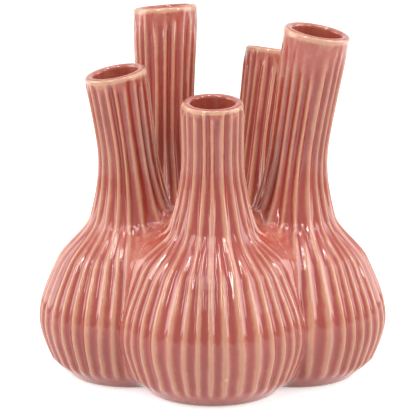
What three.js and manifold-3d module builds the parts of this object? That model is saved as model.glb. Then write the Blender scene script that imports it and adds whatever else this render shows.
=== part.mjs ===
// Earthenware vase: five fluted gourd bottles, luted together on one lobed foot slab.
// Millimetres, +Z up. The origin is on the underside of the foot, on the axis that the bottles stand round.
import * as THREE from "three";
import { mergeVertices } from "three/addons/utils/BufferGeometryUtils.js";
import Module from "manifold-3d";

const wasm = await Module();
wasm.setup();

// The ring of bottles
const clusterRadius = 51; // vase axis to each bottle's axis
const bottles = [
  { name: "front_bottle", heading: -90, rimHeight: 170, leanOut: 5, leanSide: 0 },
  { name: "right_bottle", heading: -18, rimHeight: 208, leanOut: 9.6, leanSide: -3.6 },
  { name: "rear_right_bottle", heading: 54, rimHeight: 191, leanOut: 9.6, leanSide: -2.5 },
  { name: "rear_left_bottle", heading: 126, rimHeight: 218, leanOut: 4.6, leanSide: -3.4 },
  { name: "left_bottle", heading: 198, rimHeight: 184, leanOut: 9.4, leanSide: 3.8 },
];
const seamNames = ["seam_front_right", "seam_right", "seam_rear", "seam_left", "seam_front_left"];
const halfSector = Math.PI / bottles.length;

// One bottle's outline, as heights and mean radii of its ribbed wall
const footRadius = 38;
const hipHeight = 13;
const hipRadius = 49.8;
const bellyHeight = 36;
const bellyRadius = 55.9;
const shoulderHeight = 71;
const shoulderRadius = 44.4;
const collarHeight = 97;
const collarRadius = 24.4;
const waistHeight = 140;
const waistRadius = 17;
const flareHeight = 222;
const flareRadius = 20.2;
const leanStart = 92; // the neck curves outwards from here
const leanEnd = 148; // and runs straight above this
const wall = 5;
const lipRound = 2.2; // rounding of the rim's outer edge
const mouthFlare = 1.4; // rounding of the rim's inner edge

// Flutes: each rib of the neck forks into two on its way down to the belly
const neckRibs = 20;
const columns = neckRibs * 4;
const ribDepth = 0.9; // crest or valley, from the mean wall
const forkTop = 112;
const forkBottom = 72;
const ribFade = 5; // ribs die out over this length at the foot and the rim

// The foot slab and the luted seams
const slabThickness = 5.5;
const slabFillet = 7;
const seamThickness = 2; // slip between two bottles' flats
const clearance = 0.3; // between neighbouring pieces
const facetClearance = 0.45; // the same, from the bottles' coarser plain walls
const bellyBlend = 4; // width over which worked-in clay fills the crease at the belly
const saddleBlend = 24; // and at the saddle between two necks
const blendBottom = 50;
const blendTop = 92;

const up = new THREE.Vector3(0, 0, 1);
const direction = (angle) => new THREE.Vector3(Math.cos(angle), Math.sin(angle), 0);
const smooth = (from, to, x) => THREE.MathUtils.smoothstep(x, from, to);

// A curve through stations of [height, value] that never overshoots them
function curveThrough(stations) {
  const slopes = stations.slice(1).map(([z, v], i) => (v - stations[i][1]) / (z - stations[i][0]));
  const tangents = stations.map((_, i) => {
    if (i === 0) return slopes[0];
    if (i === slopes.length) return slopes[i - 1];
    const product = slopes[i - 1] * slopes[i];
    return product <= 0 ? 0 : (2 * product) / (slopes[i - 1] + slopes[i]);
  });
  return (z) => {
    let i = 0;
    while (i < slopes.length - 1 && z > stations[i + 1][0]) i++;
    const span = stations[i + 1][0] - stations[i][0];
    const t = THREE.MathUtils.clamp((z - stations[i][0]) / span, 0, 1);
    const held = stations[i][1] * (1 + 2 * t) * (1 - t) ** 2 + stations[i + 1][1] * t * t * (3 - 2 * t);
    return held + span * t * (1 - t) * (tangents[i] * (1 - t) - tangents[i + 1] * t);
  };
}

const profile = curveThrough([
  [0, footRadius],
  [hipHeight, hipRadius],
  [bellyHeight, bellyRadius],
  [shoulderHeight, shoulderRadius],
  [collarHeight, collarRadius],
  [waistHeight, waistRadius],
  [flareHeight, flareRadius],
]);

// How far the neck's centreline has moved sideways per unit of lean, and how steeply it goes
function leanTravel(z) {
  const t = THREE.MathUtils.clamp((z - leanStart) / (leanEnd - leanStart), 0, 1);
  return ((leanEnd - leanStart) * t * t) / 2 + Math.max(0, z - leanEnd);
}
const leanSlope = (z) => THREE.MathUtils.clamp((z - leanStart) / (leanEnd - leanStart), 0, 1);

// The centre of a bottle at a height, and the two directions across it there
function station(bottle, z) {
  const heading = THREE.MathUtils.degToRad(bottle.heading);
  const outward = direction(heading);
  const sideways = direction(heading + Math.PI / 2);
  const tanOut = Math.tan(THREE.MathUtils.degToRad(bottle.leanOut));
  const tanSide = Math.tan(THREE.MathUtils.degToRad(bottle.leanSide));
  const centre = outward.clone().multiplyScalar(clusterRadius + tanOut * leanTravel(z));
  centre.addScaledVector(sideways, tanSide * leanTravel(z)).addScaledVector(up, z);
  const along = up.clone().addScaledVector(outward, tanOut * leanSlope(z));
  along.addScaledVector(sideways, tanSide * leanSlope(z)).normalize();
  const across = outward.clone().addScaledVector(along, -outward.dot(along)).normalize();
  return { centre, across, beside: along.clone().cross(across) };
}

// How far a point is outside a bottle's mean wall
function awayFrom(bottle, point) {
  const { centre } = station(bottle, point.z);
  const slope = profile(point.z + 0.5) - profile(point.z - 0.5);
  return (Math.hypot(point.x - centre.x, point.y - centre.y) - profile(point.z)) / Math.hypot(1, slope);
}

// The worked-in clay at a point: how wide it blends there, and 1 at a crease falling to 0 where the clay ends
function creaseAt(point) {
  const [first, second] = bottles.map((bottle) => awayFrom(bottle, point)).sort((p, q) => p - q);
  const blend = THREE.MathUtils.lerp(bellyBlend, saddleBlend, smooth(blendBottom, blendTop, point.z));
  return { first, blend, depth: Math.max(0, 1 - (second - first) / blend) };
}

// Relief of the flutes: crests at +1, valleys at -1
function flute(angle, z) {
  const forked = 1 - smooth(forkBottom, forkTop, z);
  return (1 - forked) * Math.cos(neckRibs * angle) + forked * Math.cos(2 * neckRibs * angle);
}

// A closed surface through rings of equally many points, capped round the middle of its end rings
function loft(rings) {
  const count = rings[0].length;
  const middle = (ring) => ring.reduce((sum, p) => sum.add(p), new THREE.Vector3()).divideScalar(count);
  const points = [...rings.flat(), middle(rings[0]), middle(rings.at(-1))];
  const faces = [];
  for (let i = 0; i < count; i++) {
    const j = (i + 1) % count;
    for (let k = 0; k < rings.length - 1; k++) {
      const low = k * count;
      const high = low + count;
      faces.push(low + i, low + j, high + j, low + i, high + j, high + i);
    }
    const last = (rings.length - 1) * count;
    faces.push(points.length - 2, j, i, points.length - 1, last + i, last + j);
  }
  return new THREE.BufferGeometry().setFromPoints(points).setIndex(faces);
}

function solidOf(geometry) {
  const merged = mergeVertices(geometry, 1e-4);
  const vertProperties = new Float32Array(merged.attributes.position.array);
  const triVerts = new Uint32Array(merged.index.array);
  return new wasm.Manifold(new wasm.Mesh({ numProp: 3, vertProperties, triVerts }));
}

// The sector between two seam planes, each moved inwards by an offset
function sector(heading, offset) {
  const reach = 400;
  const tip = direction(heading).multiplyScalar(offset / Math.sin(halfSector));
  const corner = (side) => direction(heading + side * halfSector).multiplyScalar(reach).add(tip);
  const plan = [tip, corner(-1), corner(1)];
  const at = (z) => plan.map((p) => p.clone().setZ(z));
  return solidOf(loft([at(-reach), at(reach)]));
}

// The outside of a bottle: ribbed wall, rounded lip, and flats where it meets its neighbours
function bottleOutside(bottle, swell = 0, ribbed = true) {
  const bottom = slabThickness + clearance - swell;
  const heights = [bottom, 13, 27, 43, 58, 71, 83, 95, 110, 135];
  const rim = bottle.rimHeight;
  const walls = heights.filter((z) => z < rim - 2 * ribFade);
  const levels = [
    ...walls.map((z) => [z, 0]),
    [rim - ribFade - lipRound, 0],
    [rim - lipRound, 0],
    [rim + swell, lipRound],
  ];
  const rings = levels.map(([z, inset]) => {
    const { centre, across, beside } = station(bottle, z);
    const ends = smooth(bottom, bottom + ribFade, z) * (1 - smooth(rim - ribFade - lipRound, rim - lipRound, z));
    const count = ribbed ? columns : columns / 2;
    return Array.from({ length: count }, (_, i) => {
      const angle = (2 * Math.PI * i) / count;
      const outward = across.clone().multiplyScalar(Math.cos(angle)).addScaledVector(beside, Math.sin(angle));
      const radius = profile(z) - inset + swell;
      const point = centre.clone().addScaledVector(outward, radius);
      const fade = 1 - smooth(0, 0.4, creaseAt(point).depth);
      const relief = ribbed ? ribDepth * ends * fade * flute(angle, z) : 0;
      return point.addScaledVector(outward, relief);
    });
  });
  const heading = THREE.MathUtils.degToRad(bottle.heading);
  return solidOf(loft(rings)).intersect(sector(heading, seamThickness / 2 + clearance - swell));
}

// The hollow inside a bottle, open at the foot and at the mouth
function bottleInside(bottle) {
  const columnsInside = 20;
  const rim = bottle.rimHeight;
  const heights = [0, 20, 40, 58, 74, 90, 106, 135];
  const levels = [
    ...heights.map((z) => [z, 0]),
    [rim - 2 * mouthFlare, 0],
    [rim + 1, mouthFlare * 2],
  ];
  const rings = levels.map(([z, flare]) => {
    const { centre, across, beside } = station(bottle, z);
    const radius = profile(z) - wall + flare;
    return Array.from({ length: columnsInside }, (_, i) => {
      const angle = (2 * Math.PI * i) / columnsInside;
      return centre
        .clone()
        .addScaledVector(across, radius * Math.cos(angle))
        .addScaledVector(beside, radius * Math.sin(angle));
    });
  });
  const heading = THREE.MathUtils.degToRad(bottle.heading);
  return solidOf(loft(rings)).intersect(sector(heading, seamThickness / 2 + clearance + wall));
}

// Foot slab: five lobes under the bottles, with a rounded corner between each two
function slabOutline(z) {
  const lobe = profile(z);
  const beside = clusterRadius * Math.sin(halfSector);
  const cornerDistance = clusterRadius * Math.cos(halfSector) + Math.sqrt((lobe + slabFillet) ** 2 - beside ** 2);
  const corner = direction(halfSector).multiplyScalar(cornerDistance);
  const sweep = Math.atan2(corner.y, corner.x - clusterRadius);
  const turn = sweep - halfSector;
  const lobeSteps = 12;
  const cornerSteps = 3;
  return bottles.flatMap(({ heading }) => {
    const plan = [];
    for (let i = 0; i <= lobeSteps; i++) {
      const angle = sweep * ((2 * i) / lobeSteps - 1);
      plan.push(new THREE.Vector3(clusterRadius + lobe * Math.cos(angle), lobe * Math.sin(angle), z));
    }
    for (let i = 1; i < cornerSteps; i++) {
      const angle = halfSector + Math.PI + turn * (1 - (2 * i) / cornerSteps);
      plan.push(corner.clone().addScaledVector(direction(angle), slabFillet).setZ(z));
    }
    return plan.map((p) => p.applyAxisAngle(up, THREE.MathUtils.degToRad(heading)));
  });
}

function footSlab() {
  return solidOf(loft([0, 0.4, 1].map((share) => slabOutline(slabThickness * share))));
}

// How far a point is outside the bottles with their creases filled
function clayField(point) {
  const { first, blend, depth } = creaseAt(point);
  return first - (depth * depth * blend) / 4;
}

// The distance along a ray from inside the clay at which it comes out
function reachOf(start, ray) {
  let low = 0;
  let high = clusterRadius;
  for (let i = 0; i < 24; i++) {
    const half = (low + high) / 2;
    if (clayField(start.clone().addScaledVector(ray, half)) < 0) low = half;
    else high = half;
  }
  return low;
}

// A luted seam: the slip between two flats, and the clay worked into the crease round it
function seam(left, right, heading) {
  const bottom = slabThickness + clearance;
  const outward = direction(heading);
  const beside = direction(heading + Math.PI / 2);
  const hub = outward.clone().multiplyScalar(clusterRadius * Math.cos(halfSector)).setZ(bellyHeight);
  const sections = 16;
  const from = THREE.MathUtils.degToRad(-46);
  const to = THREE.MathUtils.degToRad(146);
  const raysAside = 2;
  const tuck = 0.93; // the outermost rays end under the bottles' walls
  const crest = [];
  const fans = Array.from({ length: sections }, (_, i) => {
    const angle = from + ((to - from) * i) / (sections - 1);
    const ray = outward.clone().multiplyScalar(Math.cos(angle)).addScaledVector(up, Math.sin(angle));
    const reach = reachOf(hub, ray);
    const { blend } = creaseAt(hub.clone().addScaledVector(ray, reach));
    const inset = 4 + blend / 2;
    const spread = Math.atan2(blend * 0.44, inset);
    const start = hub.clone().addScaledVector(ray, reach - inset);
    crest.push(start.clone().addScaledVector(ray, inset / 2));
    const fan = [start];
    for (let k = -raysAside; k <= raysAside; k++) {
      const turned = (spread * k) / raysAside;
      const aim = ray.clone().multiplyScalar(Math.cos(turned)).addScaledVector(beside, Math.sin(turned));
      const length = reachOf(start, aim) * (Math.abs(k) === raysAside ? tuck : 1);
      fan.push(start.clone().addScaledVector(aim, length));
    }
    return fan;
  });
  const corners = [outward.clone().setZ(crest.at(-1).z), outward.clone(), crest[0].clone().setZ(0)];
  const sheet = [...crest, ...corners];
  const slip = [-1, 1].map((side) => sheet.map((p) => p.clone().addScaledVector(beside, -side * seamThickness / 2)));
  const cut = [left, right].reduce(
    (rest, bottle) =>
      rest.subtract(bottleOutside(bottle, facetClearance, false)).subtract(bottleOutside(bottle, clearance)),
    solidOf(loft(fans)).add(solidOf(loft(slip))).intersect(sector(heading, clearance / 2)).intersect(above(bottom)),
  );
  // The walls cut crumbs off the bead's edges, and the seam is the largest body left
  return cut.decompose().reduce((most, body) => (body.volume() > most.volume() ? body : most));
}

// Everything above a height
function above(bottom) {
  const side = 800;
  const box = new THREE.BoxGeometry(side, side, side).translate(0, 0, bottom + side / 2);
  return solidOf(new THREE.BufferGeometry().setAttribute("position", box.attributes.position).setIndex(box.index));
}

const glaze = { color: 0xc4675c, roughness: 0.14, metalness: 0 };
const vase = new THREE.Group();

function place(name, solid, look) {
  const made = solid.getMesh();
  const geometry = new THREE.BufferGeometry();
  geometry.setAttribute("position", new THREE.BufferAttribute(made.vertProperties, 3));
  geometry.setIndex(new THREE.BufferAttribute(made.triVerts, 1));
  geometry.computeVertexNormals();
  const mesh = new THREE.Mesh(geometry, new THREE.MeshStandardMaterial(look));
  mesh.name = name;
  vase.add(mesh);
}

for (const bottle of bottles) place(bottle.name, bottleOutside(bottle).subtract(bottleInside(bottle)), glaze);
place("base_slab", footSlab(), { ...glaze, color: 0xbd6a5c });
seamNames.forEach((name, i) => {
  const heading = THREE.MathUtils.degToRad(bottles[i].heading) + halfSector;
  place(name, seam(bottles[i], bottles[(i + 1) % bottles.length], heading), glaze);
});

export default vase;
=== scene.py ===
import math
import bpy
import numpy as np
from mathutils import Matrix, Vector


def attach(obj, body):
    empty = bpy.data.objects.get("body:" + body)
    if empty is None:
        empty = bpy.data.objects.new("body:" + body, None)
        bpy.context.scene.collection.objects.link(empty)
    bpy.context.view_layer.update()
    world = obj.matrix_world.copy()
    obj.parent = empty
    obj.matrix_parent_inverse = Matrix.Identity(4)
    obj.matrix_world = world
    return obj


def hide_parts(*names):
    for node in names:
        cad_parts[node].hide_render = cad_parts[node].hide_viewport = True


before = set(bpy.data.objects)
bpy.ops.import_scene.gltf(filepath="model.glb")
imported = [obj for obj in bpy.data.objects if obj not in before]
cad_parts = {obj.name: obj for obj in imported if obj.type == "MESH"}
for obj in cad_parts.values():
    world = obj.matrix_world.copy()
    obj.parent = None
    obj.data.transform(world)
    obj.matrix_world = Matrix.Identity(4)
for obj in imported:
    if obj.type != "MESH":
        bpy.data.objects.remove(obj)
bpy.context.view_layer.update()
scene = bpy.context.scene
mm = 0.001

# what the five bottles share, in millimetres and counts
vase = {
    "clusterRadius": 51.0,
    "wall": 5.0,
    "lipRound": 2.2,
    "mouthRound": 1.9,
    "seamHalf": 1.3,  # half of the seam between two bottles, with its clearance
    "slabTop": 5.5,
    "neckRibs": 20,
    "forks": 2,
    "ribDepth": 0.85,
    "forkTop": 112.0,
    "forkBottom": 68.0,
    "bellyBlend": 4.0,  # how widely the clay is worked between two bulbs
    "saddleBlend": 24.0,  # and between the necks
    "blendBottom": 50.0,
    "blendTop": 92.0,
    "leanStart": 92.0,
    "leanEnd": 148.0,
}
# name: heading in degrees, rim height, lean outwards and sideways in degrees
bottles = {
    "front": (-90, 170, 5.0, 0.0),
    "right": (-18, 208, 9.6, -3.6),
    "rearRight": (54, 191, 9.6, -2.5),
    "rearLeft": (126, 218, 4.6, -3.4),
    "left": (198, 184, 9.4, 3.8),
}
cadNames = {
    "front": "front_bottle",
    "right": "right_bottle",
    "rearRight": "rear_right_bottle",
    "rearLeft": "rear_left_bottle",
    "left": "left_bottle",
}
# how unevenly the ribs were combed by hand
combing = {
    "spacing": 0.024,
    "fineSpacing": 0.012,
    "sway": 0.008,
    "swayHeight": 13.0,
    "forkScatter": 4.0,
    "rimScatter": 2.5,
    "depthScatter": 0.18,
    "sharpness": 1.25,
    "footFade": (5.5, 13.0),  # heights between which the ribs come up from the foot
    "creaseFade": (0.5, 0.92),  # how deep in a crease they die out
}
# marks of the hand: bottle, degrees from its outward side, height, radius, and kind
flaws = [
    ("front", 8, 20.5, 1.3, "bare"),
    ("front", -1, 40.5, 0.8, "pimple"),
    ("front", 2, 71.5, 0.8, "pimple"),
    ("front", -10, 73, 0.7, "pimple"),
    ("front", 30, 60, 0.7, "pimple"),
    ("right", -80, 194, 13.0, "smooth"),
    ("right", -64, 203, 1.0, "red"),
    ("rearLeft", 150, 214, 1.2, "red"),
    ("rearLeft", 69, 209, 1.1, "red"),
    ("rearRight", 176, 185, 1.2, "pimple"),
    ("left", -30, 60, 0.8, "pimple"),
    ("left", 100, 140, 0.9, "red"),
]
# the glaze is cream where a mark is above zero, and red below
markStrength = {"bare": 1.0, "pimple": 0.45, "red": -1.0}
wipedShare = 0.85  # of the ribs, in a smooth mark
markHeight = 0.3  # millimetres proud
# how far below each rim the ribs were wiped away
wiped = {"front": 6.0, "right": 24.0, "rearRight": 17.0, "rearLeft": 22.0, "left": 10.0}
# height and radius of a bottle's wall, without its ribs
stations = [(0, 38), (13, 49.8), (36, 55.9), (71, 44.4), (97, 24.4), (140, 17), (222, 20.2)]


def smooth(low, high, x):
    t = np.clip((x - low) / (high - low), 0, 1)
    return t * t * (3 - 2 * t)


def makeProfile(points):
    zs = np.array([p[0] for p in points], float)
    rs = np.array([p[1] for p in points], float)
    slopes = np.diff(rs) / np.diff(zs)
    tangents = np.zeros(len(zs))
    tangents[0], tangents[-1] = slopes[0], slopes[-1]
    for i in range(1, len(slopes)):
        product = slopes[i - 1] * slopes[i]
        if product > 0:
            tangents[i] = 2 * product / (slopes[i - 1] + slopes[i])

    def at(z):
        z = np.asarray(z, float)
        i = np.clip(np.searchsorted(zs, z, side="right") - 1, 0, len(slopes) - 1)
        span = zs[i + 1] - zs[i]
        t = np.clip((z - zs[i]) / span, 0, 1)
        held = rs[i] * (1 + 2 * t) * (1 - t) ** 2 + rs[i + 1] * t * t * (3 - 2 * t)
        return held + span * t * (1 - t) * (tangents[i] * (1 - t) - tangents[i + 1] * t)

    return at


profile = makeProfile(stations)


def leanTravel(z):
    span = vase["leanEnd"] - vase["leanStart"]
    t = np.clip((z - vase["leanStart"]) / span, 0, 1)
    return span * t * t / 2 + np.maximum(0, z - vase["leanEnd"])


def centreOf(name, z):
    heading, _, leanOut, leanSide = bottles[name]
    a = math.radians(heading)
    out = vase["clusterRadius"] + math.tan(math.radians(leanOut)) * leanTravel(z)
    side = math.tan(math.radians(leanSide)) * leanTravel(z)
    return out * math.cos(a) - side * math.sin(a), out * math.sin(a) + side * math.cos(a)


def awayFrom(name, p):
    z = p[..., 2]
    x, y = centreOf(name, z)
    slope = profile(z + 0.5) - profile(z - 0.5)
    return (np.hypot(p[..., 0] - x, p[..., 1] - y) - profile(z)) / np.hypot(1, slope)


def clayAt(p):
    # distance outside the clay, and how deep in a worked crease the point is
    near = np.sort(np.stack([awayFrom(n, p) for n in bottles]), axis=0)
    share = smooth(vase["blendBottom"], vase["blendTop"], p[..., 2])
    blend = vase["bellyBlend"] + (vase["saddleBlend"] - vase["bellyBlend"]) * share
    depth = np.maximum(0, 1 - (near[1] - near[0]) / blend)
    return near[0] - depth ** 2 * blend / 4, depth


def rays(name, z, angle):
    # start and direction of a ray across the bottle at each height and angle
    heading, _, leanOut, leanSide = bottles[name]
    a = math.radians(heading)
    out = np.array([math.cos(a), math.sin(a), 0.0])
    side = np.array([-math.sin(a), math.cos(a), 0.0])
    steep = np.clip((z - vase["leanStart"]) / (vase["leanEnd"] - vase["leanStart"]), 0, 1)[:, None]
    along = np.array([0, 0, 1.0]) + out * math.tan(math.radians(leanOut)) * steep
    along = along + side * math.tan(math.radians(leanSide)) * steep
    along /= np.linalg.norm(along, axis=1, keepdims=True)
    across = out - along * (along @ out)[:, None]
    across /= np.linalg.norm(across, axis=1, keepdims=True)
    aim = np.cos(angle)[:, None] * across + np.sin(angle)[:, None] * np.cross(along, across)
    return np.stack([*centreOf(name, z), z], axis=1), aim


def planeLimit(name, start, aim, offset=0.0):
    # how far a ray can go before it leaves the bottle's sector
    a = math.radians(bottles[name][0])
    limit = np.full(len(aim), 1e9)
    for side in (-1, 1):
        edge = a + side * math.pi / 5
        normal = np.array([-math.sin(edge), math.cos(edge), 0]) * side  # points out of the sector
        gap = -(start @ normal) - offset
        speed = aim @ normal
        limit = np.minimum(limit, np.where(speed > 1e-6, gap / np.maximum(speed, 1e-6), 1e9))
    return limit


def reach(name, z, angle):
    # how far each ray runs in the clay, and to the sector's edge
    longest, halvings = 70.0, 20
    start, aim = rays(name, z, angle)
    low = np.zeros(len(z))
    high = np.full(len(z), longest)
    for _ in range(halvings):
        half = (low + high) / 2
        inside = clayAt(start + aim * half[:, None])[0] < 0
        low = np.where(inside, half, low)
        high = np.where(inside, high, half)
    return low, planeLimit(name, start, aim)


def creases(name, heights, side):
    # outer and inner angle at which each ring meets the neighbour on one side
    fan = side * np.radians(np.arange(40, 181, 1.0))  # no crease lies nearer the front than this
    z = np.repeat(heights, len(fan))
    wall, plane = reach(name, z, np.tile(fan, len(heights)))
    gap = (wall - plane).reshape(len(heights), -1)
    closest = fan[np.argmax(gap, axis=1)]
    meets = gap.max(axis=1) > 0
    found = []
    for end in (fan[0], fan[-1]):
        clear = np.full(len(heights), end)
        touching = closest.copy()
        for _ in range(16):
            middle = (clear + touching) / 2
            wall, plane = reach(name, heights, middle)
            cut = wall > plane
            touching = np.where(cut, middle, touching)
            clear = np.where(cut, clear, middle)
        whole = gap[:, -1] > 0 if end == fan[-1] else np.zeros(len(heights), bool)
        found.append(np.where(whole, fan[-1], np.where(meets, touching, closest)))
    return np.abs(found[0]), np.abs(found[1]), meets


def outside(name, heights, spread):
    # the ribbed wall as rings of points, whose columns follow the creases to the neighbours
    front, flat, inner = spread
    even = [math.pi * front / (front + flat + inner), math.pi * (front + flat) / (front + flat + inner)]
    halves = []
    for side in (-1, 1):
        first, second, meets = creases(name, heights, side)
        saddle = heights[meets].max()
        relax = smooth(saddle, saddle + bottleMesh["relaxHeight"], heights)
        first = first + (even[0] - first) * relax
        second = second + (even[1] - second) * relax
        least = bottleMesh["leastTurn"]
        second = np.minimum(np.maximum(second, first + least), math.pi - least * inner / 10)
        parts = [np.linspace(np.zeros(len(heights)), first, front + 1)[1:]]
        parts.append(np.linspace(first, second, flat + 1)[1:])
        parts.append(np.linspace(second, np.full(len(heights), math.pi), inner + 1)[1:])
        halves.append(side * np.concatenate(parts).T)
    # from the seam at the back round by the front, and back to it
    grid = np.concatenate([halves[0][:, -2::-1], np.zeros((len(heights), 1)), halves[1]], axis=1)
    columns = grid.shape[1]
    z, angle = np.repeat(heights, columns), grid.ravel()
    wall, plane = reach(name, z, angle)
    start, aim = rays(name, z, angle)
    points = start + aim * np.minimum(wall, plane)[:, None]
    depth = clayAt(points)[1]
    rim = bottles[name][1]
    seed = list(bottles).index(name) * 1.7 + 0.6
    ragged = z + combing["rimScatter"] * np.sin(9 * angle + seed)
    ends = smooth(*combing["footFade"], z) * (1 - smooth(rim - wiped[name], rim - vase["lipRound"], ragged))
    forkHeight = z + combing["forkScatter"] * np.sin(3 * angle + seed)
    forked = 1 - smooth(vase["forkBottom"], vase["forkTop"], forkHeight)
    n = vase["neckRibs"]
    turned = angle + combing["spacing"] * np.sin(5 * angle + seed)
    turned = turned + combing["fineSpacing"] * np.sin(8 * angle + 2 * seed)
    turned = turned + combing["sway"] * np.sin(z / combing["swayHeight"] + 4 * np.sin(2 * angle + seed))
    wave = (1 - forked) * np.cos(n * turned) + forked * np.cos(vase["forks"] * n * turned)
    wave = 2 * ((wave + 1) / 2) ** combing["sharpness"] - 1
    strength = 1 + combing["depthScatter"] * np.sin(7 * angle + 3 * seed) * np.sin(z / 40 + seed)
    left, spot = marksAt(name, z, angle)
    fade = (1 - smooth(*combing["creaseFade"], depth)) * ends * (wall < plane - 1e-4) * left
    relief = vase["ribDepth"] * strength * fade * wave + markHeight * np.abs(spot)
    points = points + aim * relief[:, None]
    return points, angle, fade * wave * strength, spot, wall > plane + 1e-3


def marksAt(name, z, angle):
    # how much of the ribs the hand has left, and how cream or red the glaze is
    left = np.ones(len(z))
    spot = np.zeros(len(z))
    for owner, degrees, height, radius, kind in flaws:
        if owner != name:
            continue
        turn = angle - math.radians(degrees)
        across = np.arctan2(np.sin(turn), np.cos(turn)) * profile(z)
        near = np.exp(-(across ** 2 + (z - height) ** 2) / radius ** 2)
        if kind == "smooth":
            left = left * (1 - wipedShare * near)
        else:
            spot += near * markStrength[kind]
    return left, spot


def plainRing(name, z, angle, radius, inside=False):
    start, aim = rays(name, np.full(len(angle), float(z)), angle)
    length = np.full(len(angle), float(radius))
    if inside:
        length = np.minimum(length, planeLimit(name, start, aim, vase["wall"] + vase["seamHalf"]))
    return start + aim * length[:, None]


def addMesh(name, points, faces, attributes=None):
    mesh = bpy.data.meshes.new(name)
    mesh.from_pydata((points * mm).tolist(), [], faces)
    mesh.update()
    for key, values in (attributes or {}).items():
        layer = mesh.attributes.new(key, "FLOAT", "POINT")
        layer.data.foreach_set("value", np.asarray(values, np.float32))
    mesh.polygons.foreach_set("use_smooth", [True] * len(mesh.polygons))
    obj = bpy.data.objects.new(name, mesh)
    scene.collection.objects.link(obj)
    return obj


def markSharp(mesh, hidden):
    # keeps faces that nobody sees from shading the edges beside them
    corners = np.empty(len(mesh.loops), np.int32)
    edges = np.empty(len(mesh.loops), np.int32)
    mesh.loops.foreach_get("vertex_index", corners)
    mesh.loops.foreach_get("edge_index", edges)
    sizes = np.empty(len(mesh.polygons), np.int32)
    mesh.polygons.foreach_get("loop_total", sizes)
    face = np.repeat(np.arange(len(sizes)), sizes)
    flat = np.bincount(face, weights=hidden[corners]) > 0
    count = np.bincount(edges, weights=flat[face], minlength=len(mesh.edges))
    layer = mesh.attributes.new("sharp_edge", "BOOLEAN", "EDGE")
    layer.data.foreach_set("value", (count == 1).tolist())


# how far each hand-cut rim is off square: up at the outward side, and up at the side
rimTilt = {
    "front": (-1.5, 0.0),
    "right": (-0.8, 0.6),
    "rearRight": (0.0, 0.3),
    "rearLeft": (0.6, -2.0),
    "left": (-0.8, -0.4),
}
bottleMesh = {
    "spread": (120, 20, 60),  # columns from the front to a crease, across the flat, and on to the back
    "slabGap": 0.04,
    "relaxHeight": 14,  # above a saddle, where the columns spread evenly again
    "leastTurn": 0.004,  # radians, so that no two columns fall together
    "bulb": (92.0, 66),  # top and number of rings
    "saddle": (92.6, 108.0, 28),
    "neck": (109.5, 46),
    "hollowNeck": (3.0, 100.0, 14),  # below the rim, down to a height, and rings
    "hollowBulb": (95.0, 8.0, 14),
}
rimLook = {
    "inset": 0.1,
    "tiltDepth": 22.0,
    "mottle": (10.0, 1.0),  # below the lip's start, where the cream is patchy
    "band": (1.1, -0.2),
    "creamEnds": (35, 78),  # degrees round the outer edge
    "mouthCream": 0.62,
    "mouthMiddle": 48,
    "mouthSpread": 20,
    # painted shade in the mouth and down the bore
    "mouthShade": 0.08,
    "hollowShade": (1, 34),  # depth over which the painted shade darkens the bore
}


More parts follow.
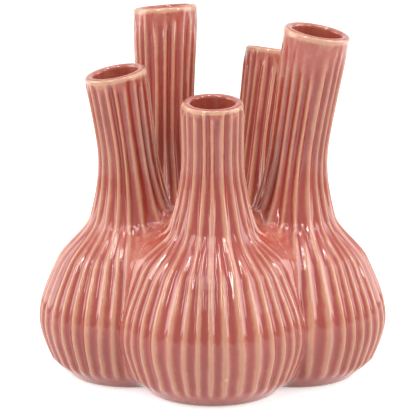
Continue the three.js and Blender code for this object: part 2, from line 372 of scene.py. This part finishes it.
def buildBottle(name):
    spread = bottleMesh["spread"]
    columns = 2 * sum(spread)
    rim = bottles[name][1]
    top = rim - vase["lipRound"]
    bulbTop, bulbRings = bottleMesh["bulb"]
    neckStart, neckRings = bottleMesh["neck"]
    bulb = np.linspace(vase["slabTop"] + bottleMesh["slabGap"], bulbTop, bulbRings)
    neck = np.linspace(neckStart, top, neckRings)
    heights = np.concatenate([bulb, np.linspace(*bottleMesh["saddle"]), neck])
    points, angle, wave, spot, hidden = outside(name, heights, spread)
    last = angle[-columns:]
    mottled, banded = [smooth(top - rimLook[k][0], top - rimLook[k][1], heights) for k in ("mottle", "band")]
    lip = np.repeat((mottled + banded) / 2, columns)
    paintedBoreShade = np.zeros(len(points))
    outer = float(profile(rim)) - rimLook["inset"]
    inner = outer - vase["wall"]
    rings = []  # height, radius, lip, painted bore shade, cut by the flats
    for degrees in range(15, 91, 15):
        t, radius = math.radians(degrees), vase["lipRound"]
        edge = 1 - float(smooth(*rimLook["creamEnds"], degrees))
        height = rim - radius * (1 - math.sin(t))
        rings.append((height, outer - radius * (1 - math.cos(t)), edge, 0.0, False))
    for degrees in range(90, -1, -15):
        t, radius = math.radians(degrees), vase["mouthRound"]
        away = (degrees - rimLook["mouthMiddle"]) / rimLook["mouthSpread"]
        edge = rimLook["mouthCream"] * math.exp(-(away ** 2))
        shade = rimLook["mouthShade"] * (1 - math.sin(t))
        height = rim - radius * (1 - math.sin(t))
        rings.append((height, inner + radius * (1 - math.cos(t)), edge, shade, False))
    below, neckFloor, neckCount = bottleMesh["hollowNeck"]
    bores = [np.linspace(rim - below, neckFloor, neckCount), np.linspace(*bottleMesh["hollowBulb"])]
    for z in np.concatenate(bores):
        # painted shade, deeper down the bore
        shade = float(smooth(*rimLook["hollowShade"], rim - z))
        rings.append((z, float(profile(z)) - vase["wall"], 0.0, shade, True))
    more = [plainRing(name, z, last, r, inside=cut) for z, r, _, _, cut in rings]
    angle = np.concatenate([angle, np.tile(last, len(rings))])
    points = np.concatenate([points, *more])
    share = smooth(rim - rimLook["tiltDepth"], rim, points[:, 2])
    up, side = rimTilt[name]
    points[:, 2] += share * (up * np.cos(angle) + side * np.sin(angle))
    points = np.concatenate([points, more[-1].mean(axis=0)[None]])
    wave = np.concatenate([wave, np.zeros(len(points) - len(wave))])
    hidden = np.concatenate([hidden, np.zeros(len(points) - len(hidden), bool)])
    spot = np.concatenate([spot, np.zeros(len(points) - len(spot))])
    lip = np.concatenate([lip, *[np.full(columns, ring[2]) for ring in rings], [0]])
    paintedBoreShade = np.concatenate([paintedBoreShade, *[np.full(columns, ring[3]) for ring in rings], [1]])
    count = len(heights) + len(rings)
    faces = []
    for k in range(count - 1):
        low, high = k * columns, (k + 1) * columns
        for i in range(columns):
            j = (i + 1) % columns
            faces.append((low + i, low + j, high + j, high + i))
    end = (count - 1) * columns
    faces += [(end + i, end + (i + 1) % columns, count * columns) for i in range(columns)]
    obj = addMesh(name + "Bottle", points, faces, {"ribs": wave, "lip": lip, "paintedBoreShade": paintedBoreShade, "spot": spot})
    markSharp(obj.data, hidden)
    print("bottle", name, len(points), "points")
    return obj


def buildSlab():
    settings = {
        "fillet": 7.0,
        "lobeSteps": 96,
        "cornerSteps": 16,
        "edgeRound": 1.6,
        "ringHeights": (2.6, 3.6, 4.6, vase["slabTop"]),
        "cream": 0.8,
        "creamHeights": (0.3, 1.8),  # bare near the foot, glazed above
    }
    half = math.pi / 5
    fillet = settings["fillet"]

    def outline(z, inset=0.0):
        lobe = float(profile(z)) - inset
        beside = vase["clusterRadius"] * math.sin(half)
        far = vase["clusterRadius"] * math.cos(half) + math.sqrt((lobe + fillet) ** 2 - beside ** 2)
        cx, cy = far * math.cos(half), far * math.sin(half)
        sweep = math.atan2(cy, cx - vase["clusterRadius"])
        turn = sweep - half
        out = []
        for heading, _, _, _ in bottles.values():
            a = math.radians(heading)
            plan = []
            for i in range(settings["lobeSteps"] + 1):
                t = sweep * (2 * i / settings["lobeSteps"] - 1)
                plan.append((vase["clusterRadius"] + lobe * math.cos(t), lobe * math.sin(t)))
            for i in range(1, settings["cornerSteps"]):
                t = half + math.pi + turn * (1 - 2 * i / settings["cornerSteps"])
                plan.append((cx + fillet * math.cos(t), cy + fillet * math.sin(t)))
            across, along = math.cos(a), math.sin(a)
            out += [(x * across - y * along, x * along + y * across, z) for x, y in plan]
        return np.array(out)

    edge = settings["edgeRound"]
    rings = []
    for t in np.radians([0, 20, 45, 70, 90]):
        rings.append(outline(edge * (1 - math.cos(t)), edge * (1 - math.sin(t))))
    for z in settings["ringHeights"]:
        rings.append(outline(z))
    count = len(rings[0])
    points = np.concatenate(rings + [[[0, 0, 0]], [[0, 0, vase["slabTop"]]]])
    faces = []
    for k in range(len(rings) - 1):
        for i in range(count):
            j = (i + 1) % count
            faces.append((k * count + i, k * count + j, (k + 1) * count + j, (k + 1) * count + i))
    for i in range(count):
        j = (i + 1) % count
        faces.append((j, i, len(points) - 2))
        faces.append(((len(rings) - 1) * count + i, (len(rings) - 1) * count + j, len(points) - 1))
    cream = settings["cream"] * (1 - smooth(*settings["creamHeights"], points[:, 2]))
    obj = addMesh("footSlab", points, faces, {"ribs": np.zeros(len(points)), "lip": cream})
    rimOfTop = np.zeros(len(points))
    rimOfTop[-1] = 1
    markSharp(obj.data, rimOfTop)
    return obj


# a socket that takes part in Python expressions
class Sock:
    def __init__(self, graph, socket):
        self.graph, self.socket = graph, socket

    def maths(self, operation, other=None, swap=False):
        pair = (self, other) if not swap else (other, self)
        values = {i: v for i, v in enumerate(pair) if v is not None}
        return self.graph.node("ShaderNodeMath", {"operation": operation}, values)

    def __add__(self, other):
        return self.maths("ADD", other)

    def __radd__(self, other):
        return self.maths("ADD", other, True)

    def __sub__(self, other):
        return self.maths("SUBTRACT", other)

    def __rsub__(self, other):
        return self.maths("SUBTRACT", other, True)

    def __mul__(self, other):
        return self.maths("MULTIPLY", other)

    def __rmul__(self, other):
        return self.maths("MULTIPLY", other, True)

    def between(self, low, high):
        settings = {"interpolation_type": "SMOOTHSTEP"}
        values = {"Value": self, "From Min": low, "From Max": high}
        return self.graph.node("ShaderNodeMapRange", settings, values)


class Graph:
    def __init__(self, material):
        self.tree = material.node_tree
        self.tree.nodes.clear()

    def node(self, kind, settings=None, values=None, output=0):
        made = self.tree.nodes.new(kind)
        for key, value in (settings or {}).items():
            setattr(made, key, value)
        for key, value in (values or {}).items():
            if isinstance(value, Sock):
                self.tree.links.new(value.socket, made.inputs[key])
            else:
                made.inputs[key].default_value = value
        return Sock(self, made.outputs[output]) if len(made.outputs) else made

    def attribute(self, name):
        return self.node("ShaderNodeAttribute", {"attribute_name": name}, {}, "Fac")

    def noise(self, scale, detail=2.0, vector=None):
        values = {"Scale": scale, "Detail": detail}
        if vector:
            values["Vector"] = vector
        return self.node("ShaderNodeTexNoise", {}, values, 0)

    def backdropRays(self):
        # rays that see the backdrop: straight from the camera, in a gloss, or through glass
        camera = self.node("ShaderNodeLightPath", {}, {}, "Is Camera Ray")
        gloss = self.node("ShaderNodeLightPath", {}, {}, "Is Glossy Ray")
        clear = self.node("ShaderNodeLightPath", {}, {}, "Is Transmission Ray")
        return camera.maths("MAXIMUM", gloss).maths("MAXIMUM", clear)

    def mix(self, share, first, second):
        return self.node("ShaderNodeMix", {"data_type": "RGBA"}, {0: share, 6: first, 7: second}, 2)


def colour(red, green, blue):
    def linear(v):
        v /= 255
        return v / 12.92 if v <= 0.04045 else ((v + 0.055) / 1.055) ** 2.4

    return (linear(red), linear(green), linear(blue), 1)


def grey(value):
    return (value, value, value, 1)


def glazeMaterial():
    look = {
        "groove": colour(160, 62, 50),
        "face": colour(182, 88, 72),
        "crest": colour(200, 138, 108),
        "lip": colour(216, 168, 134),
        # painted shade: the dark red that the bore is painted towards with depth
        "inside": colour(90, 30, 24),
        "roughness": 0.09,
        "ior": 1.5,
        "coat": (0.3, 0.04),  # weight and roughness
        "bump": (0.12, 0.0012),  # strength and distance in metres
        "cloud": 28.0,  # how fine each unevenness is
        "drift": 90.0,
        "run": 260.0,
        "grain": 420.0,
        "speck": 1500.0,
        "cloudOnRibs": 1.0,  # how much each one shifts the break between red and cream
        "driftOnRibs": 0.8,
        "grainOnRibs": 0.5,
        "runOnRibs": 0.9,
        "redToFace": (-0.95, 0.25),
        "faceToCream": (-0.15, 0.9),
        "lipCover": 0.85,
        "speckCover": 0.25,
    }
    material = bpy.data.materials.new("roseGlaze")
    material.use_nodes = True
    g = Graph(material)
    place = g.node("ShaderNodeTexCoord", {}, {}, "Object")
    ribs = g.attribute("ribs")
    lip = g.attribute("lip")
    paintedBoreShade = g.attribute("paintedBoreShade")
    spot = g.attribute("spot")
    cloud = g.noise(look["cloud"], 3.0, place)
    grain = g.noise(look["grain"], 3.0, place)
    drift = g.noise(look["drift"], 2.0, place)
    stretched = g.node("ShaderNodeVectorMath", {"operation": "MULTIPLY"}, {0: place, 1: (1, 1, 0.3)})
    run = g.noise(look["run"], 3.0, stretched)  # glaze runs down the wall
    level = ribs + (cloud - 0.5) * look["cloudOnRibs"] + (drift - 0.5) * look["driftOnRibs"]
    level = level + (grain - 0.5) * look["grainOnRibs"] + (run - 0.5) * look["runOnRibs"]
    shade = g.mix(level.between(*look["redToFace"]), look["groove"], look["face"])
    shade = g.mix(level.between(*look["faceToCream"]), shade, look["crest"])
    patchy = lip + (cloud - 0.5) * 0.5 + (drift - 0.5) * 0.6 + (grain - 0.5) * 0.3
    edge = patchy.between(0.4, 0.9) * look["lipCover"]
    shade = g.mix(edge, shade, look["lip"])
    shade = g.mix(spot.between(0.3, 0.8), shade, look["lip"])
    shade = g.mix((0 - spot).between(0.3, 0.8), shade, look["groove"])
    # painted shade over the mouth and the bore
    shade = g.mix(paintedBoreShade, shade, look["inside"])
    speck = g.noise(look["speck"], 1.0, place).between(0.70, 0.78) * look["speckCover"]
    shade = g.mix(speck, shade, look["groove"])
    rough = look["roughness"] + (grain - 0.5) * 0.08 + edge * 0.08
    strength, distance = look["bump"]
    skin = {"Height": drift * 0.6 + grain * 0.12, "Strength": strength, "Distance": distance}
    values = {"Base Color": shade, "Roughness": rough, "Normal": g.node("ShaderNodeBump", {}, skin, "Normal")}
    values["IOR"] = look["ior"]
    values["Coat Weight"], values["Coat Roughness"] = look["coat"]
    shader = g.node("ShaderNodeBsdfPrincipled", {}, values)
    g.node("ShaderNodeOutputMaterial", {}, {"Surface": shader})
    return material


def stageMaterial():
    look = {
        "paper": (0.86, 0.89),  # two greys that drift into each other
        "glow": (0.6, 1.0),  # what the camera adds near the vase, and far from it
        "glowReach": (0.25, 1.2),
    }
    material = bpy.data.materials.new("paleFloor")
    material.use_nodes = True
    g = Graph(material)
    seen = g.backdropRays()
    paper = g.noise(3.0, 2.0).between(0.2, 0.8)
    shade = g.mix(paper, *[grey(v) for v in look["paper"]])
    shader = g.node("ShaderNodeBsdfPrincipled", {}, {"Base Color": shade, "Roughness": 0.9})
    place = g.node("ShaderNodeTexCoord", {}, {}, "Object")
    far = g.node("ShaderNodeVectorMath", {"operation": "LENGTH"}, {0: place}, "Value")
    tint = g.mix(far.between(*look["glowReach"]), *[grey(v) for v in look["glow"]])
    glow = g.node("ShaderNodeEmission", {}, {"Color": tint, "Strength": 1.0})
    blank = g.node("ShaderNodeEmission", {}, {"Color": grey(0), "Strength": 0.0})
    shown = g.node("ShaderNodeMixShader", {}, {0: seen, 1: blank, 2: glow})
    both = g.node("ShaderNodeAddShader", {}, {0: shader, 1: shown})
    g.node("ShaderNodeOutputMaterial", {}, {"Surface": both})
    return material


glaze = glazeMaterial()
seamNodes = {
    "front": "seam_front_right",
    "right": "seam_right",
    "rearRight": "seam_rear",
    "rearLeft": "seam_left",
    "left": "seam_front_left",
}
for name in bottles:
    piece = buildBottle(name)
    piece.data.materials.append(glaze)
    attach(piece, "root")
    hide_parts(cadNames[name], seamNodes[name])
slab = buildSlab()
slab.data.materials.append(glaze)
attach(slab, "root")
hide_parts("base_slab")
print("pieces made")

floorMesh = bpy.data.meshes.new("floor")
floorHalf = 14  # metres
corners = [(-1, -1), (1, -1), (1, 1), (-1, 1)]
floorMesh.from_pydata([(x * floorHalf, y * floorHalf, 0) for x, y in corners], [], [(0, 1, 2, 3)])
floor = bpy.data.objects.new("floor", floorMesh)
scene.collection.objects.link(floor)
floor.location.z = -0.0002  # just under the foot
floor.data.materials.append(stageMaterial())

# degrees to the right of the camera's side, degrees up, distance, size and power
lightPlan = {
    "windowLow": (-33, 42, 1.3, (0.08, 0.75), 6.2),
    "windowHigh": (-33, 73, 1.3, (0.09, 0.30), 2.6),
    "stripRight": (24, 68, 1.3, (0.07, 0.45), 2.9),
    "stripFarRight": (51, 34, 1.3, (0.07, 0.60), 3.9),
    "leftSoftbox": (-92, 22, 1.35, (1.0, 1.0), 10.8),
    "rightSoftbox": (92, 22, 1.35, (1.0, 1.0), 11.4),
    "topSoftbox": (0, 88, 1.45, (1.2, 1.2), 2.4),
}
for name, (turn, rise, distance, size, watts) in lightPlan.items():
    data = bpy.data.lights.new(name, "AREA")
    data.shape = "RECTANGLE"
    data.size, data.size_y = size
    data.energy = watts
    lamp = bpy.data.objects.new(name, data)
    turn, rise = math.radians(turn), math.radians(rise)
    toward = Vector((math.sin(turn) * math.cos(rise), -math.cos(turn) * math.cos(rise), math.sin(rise)))
    lamp.location = Vector((0, 0, 0.1)) + toward * distance  # aimed at the foot of the necks
    lamp.rotation_euler = (-toward).to_track_quat("-Z", "Y").to_euler()
    scene.collection.objects.link(lamp)

world = bpy.data.worlds.new("studio")
world.use_nodes = True
scene.world = world
g = Graph(world)
facing = g.node("ShaderNodeTexCoord", {}, {}, "Generated")
behind = g.node("ShaderNodeSeparateXYZ", {}, {0: facing}, "Y").between(-0.3, 0.7)
room = g.mix(behind, grey(0.04), grey(0.29))  # the room is dim in front and lighter behind the vase
room = g.mix(g.backdropRays(), room, grey(1))
sky = g.node("ShaderNodeBackground", {}, {"Color": room, "Strength": 1.0})
g.node("ShaderNodeOutputWorld", {}, {"Surface": sky})

# metres and radians, fitted to the photograph, with lengths in its picture in pixels
cameraPlan = {
    "distance": 0.9187,
    "height": 0.27226,
    "pitch": 0.1881,
    "focalPixels": 1527.49,
    "sidePixels": 12.71,
    "framePixels": 418,
}
lens = bpy.data.cameras.new("camera")
lens.sensor_fit = "VERTICAL"
lens.sensor_height = 36
lens.lens = cameraPlan["focalPixels"] / cameraPlan["framePixels"] * lens.sensor_height
lens.shift_x = -cameraPlan["sidePixels"] / cameraPlan["framePixels"]
lens.clip_start = 0.01
cameraObject = bpy.data.objects.new("camera", lens)
cameraObject.location = (0, -cameraPlan["distance"], cameraPlan["height"])
cameraObject.rotation_euler = (math.pi / 2 - cameraPlan["pitch"], 0, 0)
scene.collection.objects.link(cameraObject)
scene.camera = cameraObject
scene.view_settings.view_transform = "Standard"
print("stage made")
